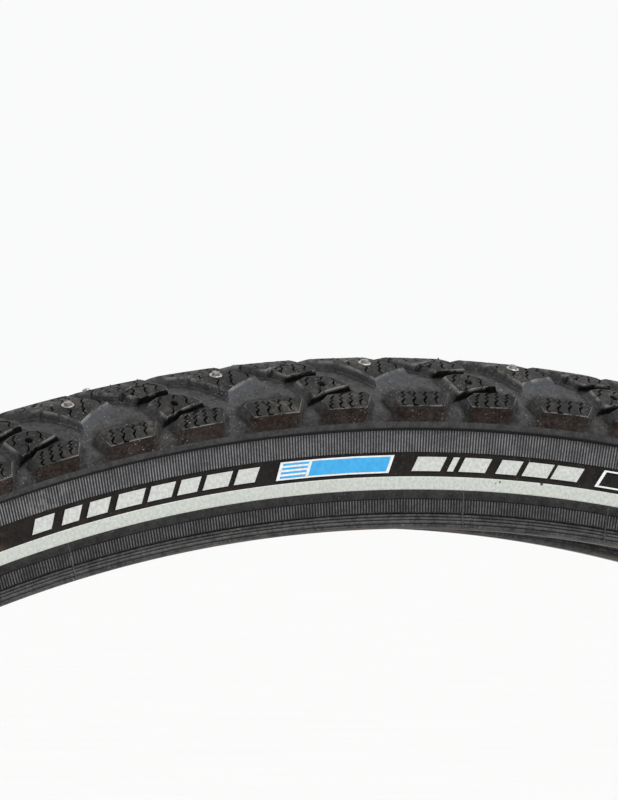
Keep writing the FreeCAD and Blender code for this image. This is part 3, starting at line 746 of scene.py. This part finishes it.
flash_objs = []
for tag, sd in SIDES:
    chunks = []
    for i in range(30):
        # the mould's segment joints and vents, one near each joint
        th = -15.9 + 12.0 * i + (0.0 if i % 2 else 0.6)
        if sd < 0 and i == 0:
            th = -15.1
        if sd < 0 and i == 1:
            th = 2.28
        for lo, hi, w, h in ((311.5, 314.0, 0.40, 0.20), (314.2, 317.3, 0.34, 0.14), (317.4, 319.2, 0.22, 0.07), (327.6, 331.9, 0.22, 0.08)):
            co, f = flash_line(th + (0.05 if lo > 320 else 0.0), lo, hi, w, h, sd)
            chunks.append((co, f, 0))
    flash_objs.append(ring_chunks(chunks, "mould_flash_" + tag))


co, f, n = [], [], 0
for th, v, lean in ((-10.67, 0.6, 0.1), (-9.56, 0.4, -0.15), (2.55, 0.5, 0.05), (38.0, -0.5, 0.1), (74.6, 0.4, 0.0), (131.0, -0.6, 0.1), (203.5, 0.5, 0.0), (291.0, 0.2, 0.1)):
    a = th * DEG
    base = place3(np.array([th]), np.array([-v]), np.array([1.0]))[0]
    q, g = lathe([(0.0, -0.4), (0.17, -0.4), (0.16, 0.1), (0.09, 0.26), (0.0, 0.36)], 8, tuple(base), (math.sin(a + lean), 0.0, math.cos(a + lean)))
    co.append(q)
    f += [tuple(k + n for k in t) for t in g]
    n += len(q)
whisk = new_object("vent_whiskers", np.concatenate(co), f, True, 40)


# ------------------------------------------------------------------ finishes
class Mat:
    def __init__(self, name):
        self.m = bpy.data.materials.new(name)
        self.m.use_nodes = True
        self.t = self.m.node_tree
        self.t.nodes.clear()
        self.out = self.t.nodes.new("ShaderNodeOutputMaterial")
        self.b = self.t.nodes.new("ShaderNodeBsdfPrincipled")
        self.t.links.new(self.b.outputs[0], self.out.inputs[0])
        self.pos = self.t.nodes.new("ShaderNodeTexCoord").outputs["Object"]

    def put(self, sock, v):
        if isinstance(v, (int, float)):
            sock.default_value = v
        elif isinstance(v, tuple):
            sock.default_value = v if len(v) == 4 or sock.type == "VECTOR" else (*v, 1.0)
        else:
            self.t.links.new(v, sock)

    def set(self, **kw):
        for k, v in kw.items():
            self.put(self.b.inputs[k.replace("_", " ")], v)

    def math(self, op, a, b=0.0, clamp=False):
        n = self.t.nodes.new("ShaderNodeMath")
        n.operation = op
        n.use_clamp = clamp
        self.put(n.inputs[0], a)
        self.put(n.inputs[1], b)
        return n.outputs[0]

    def noise(self, scale, detail=3.0, rough=0.55, vec=None):
        n = self.t.nodes.new("ShaderNodeTexNoise")
        n.inputs["Scale"].default_value = scale
        n.inputs["Detail"].default_value = detail
        n.inputs["Roughness"].default_value = rough
        self.t.links.new(vec or self.pos, n.inputs["Vector"])
        return n.outputs[0]

    def step(self, v, lo, hi, a=0.0, b=1.0):
        n = self.t.nodes.new("ShaderNodeMapRange")
        n.interpolation_type = "SMOOTHSTEP"
        n.inputs["From Min"].default_value = lo
        n.inputs["From Max"].default_value = hi
        n.inputs["To Min"].default_value = a
        n.inputs["To Max"].default_value = b
        self.t.links.new(v, n.inputs["Value"])
        return n.outputs[0]

    def mix(self, f, a, b):
        n = self.t.nodes.new("ShaderNodeMix")
        n.data_type = "RGBA"
        self.put(n.inputs[0], f)
        self.put(n.inputs[6], a)
        self.put(n.inputs[7], b)
        return n.outputs[2]

    def attr(self, name):
        n = self.t.nodes.new("ShaderNodeAttribute")
        n.attribute_name = name
        return n.outputs["Fac"]

    def near(self, p, r0, r1):
        """1 within r0 mm of a point, 0 beyond r1 mm."""
        n = self.t.nodes.new("ShaderNodeVectorMath")
        n.operation = "DISTANCE"
        self.t.links.new(self.pos, n.inputs[0])
        n.inputs[1].default_value = tuple(c * MM for c in p)
        return self.step(n.outputs["Value"], r0 * MM, r1 * MM, 1.0, 0.0)

    def bump(self, h, strength, dist):
        n = self.t.nodes.new("ShaderNodeBump")
        n.inputs["Strength"].default_value = strength
        n.inputs["Distance"].default_value = dist * MM
        self.t.links.new(h, n.inputs["Height"])
        self.t.links.new(n.outputs[0], self.b.inputs["Normal"])


def P3(theta, r, y):
    a = theta * DEG
    return (r * math.sin(a), y, r * math.cos(a))


def rubber(name, dark, light, scale=260.0, speck=0.5, rough=0.6, spec=0.35, bump=0.25):
    m = Mat(name)
    c = m.mix(m.step(m.math("ADD", m.math("MULTIPLY", m.noise(scale, 5.0, 0.65), 0.55), m.math("MULTIPLY", m.noise(1700.0, 3.0, 0.6), 0.45)), 0.38, 0.62), dark, light)
    sp = m.math("MULTIPLY", m.step(m.noise(2300.0, 2.0, 0.5), 0.66, 0.74), m.step(m.noise(140.0, 3.0), 0.42, 0.68))
    c = m.mix(m.math("MULTIPLY", sp, speck), c, (0.30, 0.29, 0.27))
    m.set(Roughness=rough)
    m.b.inputs["Specular IOR Level"].default_value = spec
    m.bump(m.noise(1500.0, 3.0, 0.6), bump, 0.06)
    return m, c


# tread
tr, _c = rubber("tread_rubber", (0.016, 0.016, 0.018), (0.030, 0.030, 0.033), rough=0.6, bump=0.4)
top = tr.attr("top")
grain = tr.step(tr.math("ADD", tr.math("MULTIPLY", tr.noise(430.0, 6.0, 0.7), 0.5), tr.math("MULTIPLY", tr.noise(1700.0, 3.0, 0.6), 0.5)), 0.38, 0.62)
c = tr.mix(grain, (0.0190, 0.0188, 0.0190), (0.0500, 0.0494, 0.0500))
c = tr.mix(top, c, tr.mix(grain, (0.0036, 0.0036, 0.0036), (0.0185, 0.0182, 0.0178)))
# Paler bluish walls: a painted highlight where the walls face the light from the right.
c = tr.mix(tr.attr("blue"), c, tr.mix(grain, (0.0330, 0.0345, 0.0390), (0.0530, 0.0550, 0.0610)))
brown = tr.attr("brown")
c = tr.mix(brown, c, tr.mix(grain, (0.0095, 0.0056, 0.0046), (0.0360, 0.0255, 0.0220)))
# Painted shade: near-black on walls turned downwards, at wall feet, on sipe floors and in the stud sockets and vent
# holes.
dark = tr.attr("dark")
c = tr.mix(dark, c, tr.mix(grain, (0.0016, 0.0015, 0.0014), (0.0075, 0.0070, 0.0066)))
dust = tr.math("MULTIPLY", tr.step(tr.noise(52.0, 4.0, 0.6), 0.53, 0.70), tr.step(tr.noise(900.0, 4.0, 0.7), 0.40, 0.62))
c = tr.mix(tr.math("MULTIPLY", tr.math("MULTIPLY", dust, top), 0.5), c, (0.13, 0.118, 0.098))
film = tr.math("MULTIPLY", tr.math("MULTIPLY", tr.step(tr.noise(75.0, 3.0, 0.6), 0.50, 0.72), tr.step(tr.noise(700.0, 4.0, 0.7), 0.42, 0.6)), tr.math("SUBTRACT", 0.4, tr.math("MULTIPLY", dark, 0.4)))
c = tr.mix(film, c, (0.085, 0.080, 0.072))
# Paler block, sipe and socket edges: partly worn rubber, partly a painted edge highlight.
edge_wear_and_highlight = tr.math("MULTIPLY", tr.step(tr.attr("wear"), 0.50, 0.92), tr.step(tr.noise(260.0, 4.0, 0.65), 0.40, 0.60))
c = tr.mix(tr.math("MULTIPLY", edge_wear_and_highlight, 0.85), c, (0.175, 0.172, 0.165))
sp = tr.math("MULTIPLY", tr.step(tr.noise(2300.0, 2.0, 0.5), 0.64, 0.71), tr.step(tr.noise(120.0, 3.0), 0.40, 0.62))
c = tr.mix(tr.math("MULTIPLY", tr.math("MULTIPLY", sp, 0.6), tr.math("SUBTRACT", 1.0, dark)), c, (0.30, 0.29, 0.275))
tr.set(Base_Color=c)
gloss = tr.math("SUBTRACT", 0.20, tr.math("MULTIPLY", tr.math("MAXIMUM", dark, tr.math("MAXIMUM", tr.math("MULTIPLY", brown, 0.7), tr.math("MULTIPLY", top, 0.35))), 0.18), True)
tr.put(tr.b.inputs["Specular IOR Level"], gloss)

shelf, c = rubber("shoulder_rubber", (0.0240, 0.0238, 0.0250), (0.0560, 0.0552, 0.0575), scale=380.0, rough=0.6, spec=0.22, bump=0.35)
seps = shelf.t.nodes.new("ShaderNodeSeparateXYZ")
shelf.t.links.new(shelf.pos, seps.inputs[0])
rs = shelf.math("MULTIPLY", shelf.math("POWER", shelf.math("ADD", shelf.math("MULTIPLY", seps.outputs[0], seps.outputs[0]), shelf.math("MULTIPLY", seps.outputs[2], seps.outputs[2])), 0.5), 1000.0)
# Painted shade: the step under the shoulder, below 332.5 mm radius, is painted near-black.
c = shelf.mix(shelf.step(rs, 332.50, 332.80, 0.93, 0.0), c, (0.0020, 0.0019, 0.0019))
shelf.set(Base_Color=c)
label, c = rubber("label_band_rubber", (0.0040, 0.0028, 0.0024), (0.0120, 0.0088, 0.0078), scale=380.0, speck=0.40, rough=0.66, spec=0.16)
worn = label.math("MULTIPLY", label.near(P3(-19.4, 325.4, -16.75), 4.0, 12.0), label.step(label.noise(620.0, 6.0, 0.75), 0.42, 0.62))
c = label.mix(label.math("MULTIPLY", worn, 0.8), c, (0.105, 0.072, 0.042))
label.set(Base_Color=c)
low, c = rubber("lower_side_rubber", (0.0060, 0.0054, 0.0056), (0.0240, 0.0225, 0.0230), scale=400.0, speck=0.4, rough=0.6, spec=0.2)
low.set(Base_Color=c)


def ribbed(name, count, phase, crest, valley, **kw):
    """Rubber whose rib crests are painted paler than the valleys between them: painted highlight on the crests, painted
    shade in the valleys.
    """
    m, c = rubber(name, crest[0], crest[1], **kw)
    sep = m.t.nodes.new("ShaderNodeSeparateXYZ")
    m.t.links.new(m.pos, sep.inputs[0])
    turn = m.math("MULTIPLY", m.math("ARCTAN2", sep.outputs[0], sep.outputs[2]), count / (2 * math.pi))
    fr = m.math("FRACT", m.math("SUBTRACT", turn, phase))
    # crest mask: painted highlight on the crests, painted shade in the valleys
    up = m.math("MULTIPLY", m.step(fr, 0.02, 0.12), m.step(fr, 0.48, 0.60, 1.0, 0.0))
    return m, m.mix(up, valley, c)


ribs, c = ribbed("ribbed_band_rubber", 3060, 0.0, ((0.090, 0.0905, 0.0950), (0.200, 0.200, 0.207)), (0.0380, 0.0382, 0.0410), scale=240.0, speck=0.35, rough=0.5, spec=0.35)
resid = ribs.math("MULTIPLY", ribs.near(P3(-15.6, 329.7, -17.1), 2.0, 9.0), ribs.step(ribs.noise(420.0, 5.0, 0.7), 0.45, 0.66))
c = ribs.mix(ribs.math("MULTIPLY", resid, 0.6), c, (0.26, 0.25, 0.23))
ribs.set(Base_Color=c)
ribs2, c = ribbed("fine_rib_rubber", 2880, 0.3, ((0.035, 0.0355, 0.0375), (0.100, 0.100, 0.104)), (0.0130, 0.0130, 0.0140), scale=260.0, speck=0.45, rough=0.5, spec=0.3)
ribs2.set(Base_Color=c)
bead, c = rubber("chafer_rubber", (0.0130, 0.0128, 0.0132), (0.0620, 0.0612, 0.0625), scale=520.0, speck=0.9, rough=0.5, spec=0.28, bump=0.45)
sepb = bead.t.nodes.new("ShaderNodeSeparateXYZ")
bead.t.links.new(bead.pos, sepb.inputs[0])
rb = bead.math("MULTIPLY", bead.math("POWER", bead.math("ADD", bead.math("MULTIPLY", sepb.outputs[0], sepb.outputs[0]), bead.math("MULTIPLY", sepb.outputs[2], sepb.outputs[2])), 0.5), 1000.0)
# Painted shade: the grooves of the bead skin are painted near-black.
for lo, hi in ((314.15, 314.30), (313.54, 313.70), (312.86, 313.00), (312.02, 312.18)):
    inside_groove = bead.math("MULTIPLY", bead.step(rb, lo - 0.06, lo), bead.step(rb, hi, hi + 0.06, 1.0, 0.0))
    c = bead.mix(bead.math("MULTIPLY", inside_groove, 0.85), c, (0.0030, 0.0028, 0.0028))
scuff = bead.math("MULTIPLY", bead.step(bead.noise(240.0, 5.0, 0.7), 0.48, 0.68), 0.3)
c = bead.mix(scuff, c, (0.085, 0.080, 0.074))
lip = bead.math("MULTIPLY", bead.math("MULTIPLY", bead.step(rb, 311.10, 311.22), bead.step(rb, 311.42, 311.56, 1.0, 0.0)), bead.step(bead.noise(90.0, 4.0, 0.6), 0.38, 0.58))
c = bead.mix(bead.math("MULTIPLY", lip, 0.75), c, (0.115, 0.088, 0.070))
bead.set(Base_Color=c)

strip = Mat("reflective_film")
g = strip.step(strip.noise(1500.0, 3.0, 0.6), 0.30, 0.70)
c = strip.mix(g, (0.40, 0.425, 0.390), (0.54, 0.560, 0.525))
c = strip.mix(strip.math("MULTIPLY", strip.step(strip.noise(90.0, 4.0, 0.6), 0.50, 0.75), 0.25), c, (0.33, 0.335, 0.31))
for p, r0, r1, k in ((P3(3.84, 321.65, -16.66), 0.10, 0.42, 0.85), (P3(3.66, 321.25, -16.66), 0.05, 0.34, 0.7), (P3(5.66, 322.05, -16.66), 0.26, 0.46, 0.97), (P3(-12.6, 321.3, -16.65), 0.05, 0.2, 0.5)):
    c = strip.mix(strip.math("MULTIPLY", strip.near(p, r0, r1), k), c, (0.01, 0.01, 0.01))
strip.set(Base_Color=c, Roughness=0.42, Metallic=0.15)
strip.bump(strip.noise(1600.0, 2.0), 0.2, 0.04)

silver = Mat("print_silver")
c = silver.mix(silver.step(silver.noise(1300.0, 3.0, 0.6), 0.3, 0.7), (0.42, 0.435, 0.415), (0.58, 0.595, 0.57))
silver.set(Base_Color=c, Roughness=0.4, Metallic=0.1)
white = Mat("print_white")
c = white.mix(white.step(white.noise(1300.0, 3.0, 0.6), 0.3, 0.7), (0.60, 0.63, 0.63), (0.76, 0.78, 0.78))
white.set(Base_Color=c, Roughness=0.45)
blue = Mat("print_blue")
c = blue.mix(blue.step(blue.noise(900.0, 3.0, 0.6), 0.3, 0.7), (0.022, 0.30, 0.62), (0.035, 0.36, 0.70))
blue.set(Base_Color=c, Roughness=0.42)

steel = Mat("stud_steel")
c = steel.mix(steel.step(steel.noise(900.0, 4.0, 0.6), 0.35, 0.65), (0.26, 0.25, 0.235), (0.52, 0.50, 0.47))
steel.set(Base_Color=c, Metallic=1.0, Roughness=steel.step(steel.noise(700.0, 3.0), 0.3, 0.7, 0.26, 0.46))
carb = Mat("carbide")
c = carb.mix(carb.step(carb.noise(1500.0, 4.0, 0.6), 0.35, 0.65), (0.20, 0.19, 0.18), (0.38, 0.37, 0.35))
carb.set(Base_Color=c, Metallic=1.0, Roughness=0.42)
wire = Mat("bead_steel")
c = wire.mix(wire.step(wire.noise(300.0, 3.0), 0.3, 0.7), (0.42, 0.29, 0.16), (0.58, 0.42, 0.26))
wire.set(Base_Color=c, Metallic=1.0, Roughness=0.38)
fabric = Mat("casing_fabric")
sep = fabric.t.nodes.new("ShaderNodeSeparateXYZ")
fabric.t.links.new(fabric.pos, sep.inputs[0])
ang = fabric.math("MULTIPLY", fabric.math("ARCTAN2", sep.outputs[0], sep.outputs[2]), 0.338)
wa = fabric.math("SINE", fabric.math("MULTIPLY", fabric.math("ADD", ang, sep.outputs[1]), 6300.0))
wb = fabric.math("SINE", fabric.math("MULTIPLY", fabric.math("SUBTRACT", ang, sep.outputs[1]), 6300.0))
weave = fabric.step(fabric.math("MAXIMUM", wa, wb), -0.4, 1.0)
c = fabric.mix(weave, (0.012, 0.0105, 0.0090), (0.034, 0.0300, 0.0255))
c = fabric.mix(fabric.math("MULTIPLY", fabric.step(fabric.noise(60.0, 3.0), 0.45, 0.7), 0.4), c, (0.050, 0.044, 0.036))
fabric.set(Base_Color=c, Roughness=0.75)
fabric.bump(weave, 0.35, 0.12)
belt = Mat("belt_fabric")
c = belt.mix(belt.step(belt.noise(500.0, 4.0), 0.3, 0.7), (0.20, 0.10, 0.035), (0.34, 0.19, 0.07))
belt.set(Base_Color=c, Roughness=0.7)
core, c = rubber("filler_rubber", (0.012, 0.012, 0.013), (0.022, 0.022, 0.023))
core.set(Base_Color=c)
flash, c = rubber("flash_rubber", (0.030, 0.0295, 0.0300), (0.085, 0.0820, 0.0780), scale=500.0, speck=0.7, rough=0.5)
flash.set(Base_Color=c)


def dress(ob, *mats):
    ob.data.materials.clear()
    for m in mats:
        ob.data.materials.append(m.m)


ROOT = "root"
for i, ob in enumerate(tread_parts):
    dress(ob, tr)
    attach(ob, ROOT)
    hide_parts("tread")
for i, (tag, sd) in enumerate(SIDES):
    for ob, node, sl, ms in ((side_objs[i], "sidewall_", "sidewall_rubber", (shelf, label, low, ribs, ribs2)),
                             (stripe_objs[i], "reflective_stripe_", "reflective_film", (strip,)),
                             (chafer_objs[i], "chafer_", "chafer_rubber", (bead,)),
                             (stud_objs[i], "stud_bodies_", "stud_steel", (steel,)),
                             (pin_objs[i], "stud_pins_", "carbide", (carb,)),
                             (flash_objs[i], None, "sidewall_rubber", (flash,))):
        keep = [p.material_index for p in ob.data.polygons] if len(ms) > 1 else None
        dress(ob, *ms)
        if keep:
            ob.data.polygons.foreach_set("material_index", keep)
        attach(ob, ROOT)
        if node:
            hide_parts(node + tag)
dress(whisk, tr)
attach(whisk, ROOT)
dress(lining, fabric)
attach(lining, ROOT)
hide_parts("casing_ply_inner")

PAINT = {"puncture_belt": belt, "casing_ply_outer": fabric}
for tag, _ in SIDES:
    PAINT.update({"bead_filler_" + tag: core, "bead_wires_" + tag: wire, "side_marks_" + tag: silver, "badge_field_" + tag: blue, "badge_border_" + tag: white})
mesh_nodes = {o.name.split(".")[0]: o for o in bpy.data.objects if o.type == "MESH"}
for node, m in PAINT.items():
    ob = mesh_nodes.get(node)
    if ob is None:
        raise SystemExit("no CAD node object for " + node)
    for k in range(max(1, len(ob.material_slots))):
        if len(ob.material_slots) == 0:
            ob.data.materials.append(m.m)
        else:
            ob.material_slots[k].material = m.m

# ------------------------------------------------------------------ floor, light, camera
bpy.ops.mesh.primitive_plane_add(size=400.0, location=(0, 0, -0.3476))
floor = bpy.context.object
floor.name = "studio_floor"
fm = Mat("studio_paper")
c = fm.mix(fm.step(fm.noise(3.0, 2.0), 0.3, 0.7), (0.640, 0.640, 0.636), (0.650, 0.650, 0.646))
fm.set(Base_Color=c, Roughness=0.9)
floor.data.materials.append(fm.m)

world = bpy.data.worlds.new("studio")
SC.world = world
world.use_nodes = True
bg = world.node_tree.nodes["Background"]
bg.inputs[0].default_value = (0.955, 0.957, 0.960, 1.0)
bg.inputs[1].default_value = 1.0
SC.view_settings.view_transform = "Standard"
SC.view_settings.look = "None"


def sun(name, az, el, strength, colour, spread):
    """Light from azimuth az (0 = from the near side, 90 = from +X) and elevation el."""
    d = bpy.data.lights.new(name, "SUN")
    d.energy = strength
    d.color = colour
    d.angle = math.radians(spread)
    o = bpy.data.objects.new(name, d)
    SC.collection.objects.link(o)
    a, e = math.radians(az), math.radians(el)
    v = Vector((math.sin(a) * math.cos(e), -math.cos(a) * math.cos(e), math.sin(e)))
    o.rotation_mode = "QUATERNION"
    o.rotation_quaternion = v.to_track_quat("Z", "Y")
    return o


sun("key", 20.0, 52.0, 1.6, (1.0, 0.99, 0.97), 35.0)
sun("side", 75.0, 25.0, 0.9, (0.93, 0.96, 1.0), 30.0)

PSI = math.radians(28.8)
EL = math.radians(0.15)
ROLL = math.radians(0.0)
right = Vector((math.cos(PSI), -math.sin(PSI), 0.0))
fwd = Vector((math.sin(PSI) * math.cos(EL), math.cos(PSI) * math.cos(EL), -math.sin(EL)))
DIST = 5.0
target = right * (-0.0139) + Vector((0, 0, 0.33845))
cd = bpy.data.cameras.new("camera")
cd.sensor_width = 36.0
cd.lens = 4675.0 * DIST * 36.0 / 800.0 / 1.0
cd.clip_start = 0.1
cd.clip_end = 500.0
cam = bpy.data.objects.new("camera", cd)
SC.collection.objects.link(cam)
cam.location = target - fwd * DIST
cam.rotation_mode = "QUATERNION"
cam.rotation_quaternion = (-fwd).to_track_quat("Z", "Y") @ Matrix.Rotation(ROLL, 4, "Z").to_quaternion()
SC.camera = cam
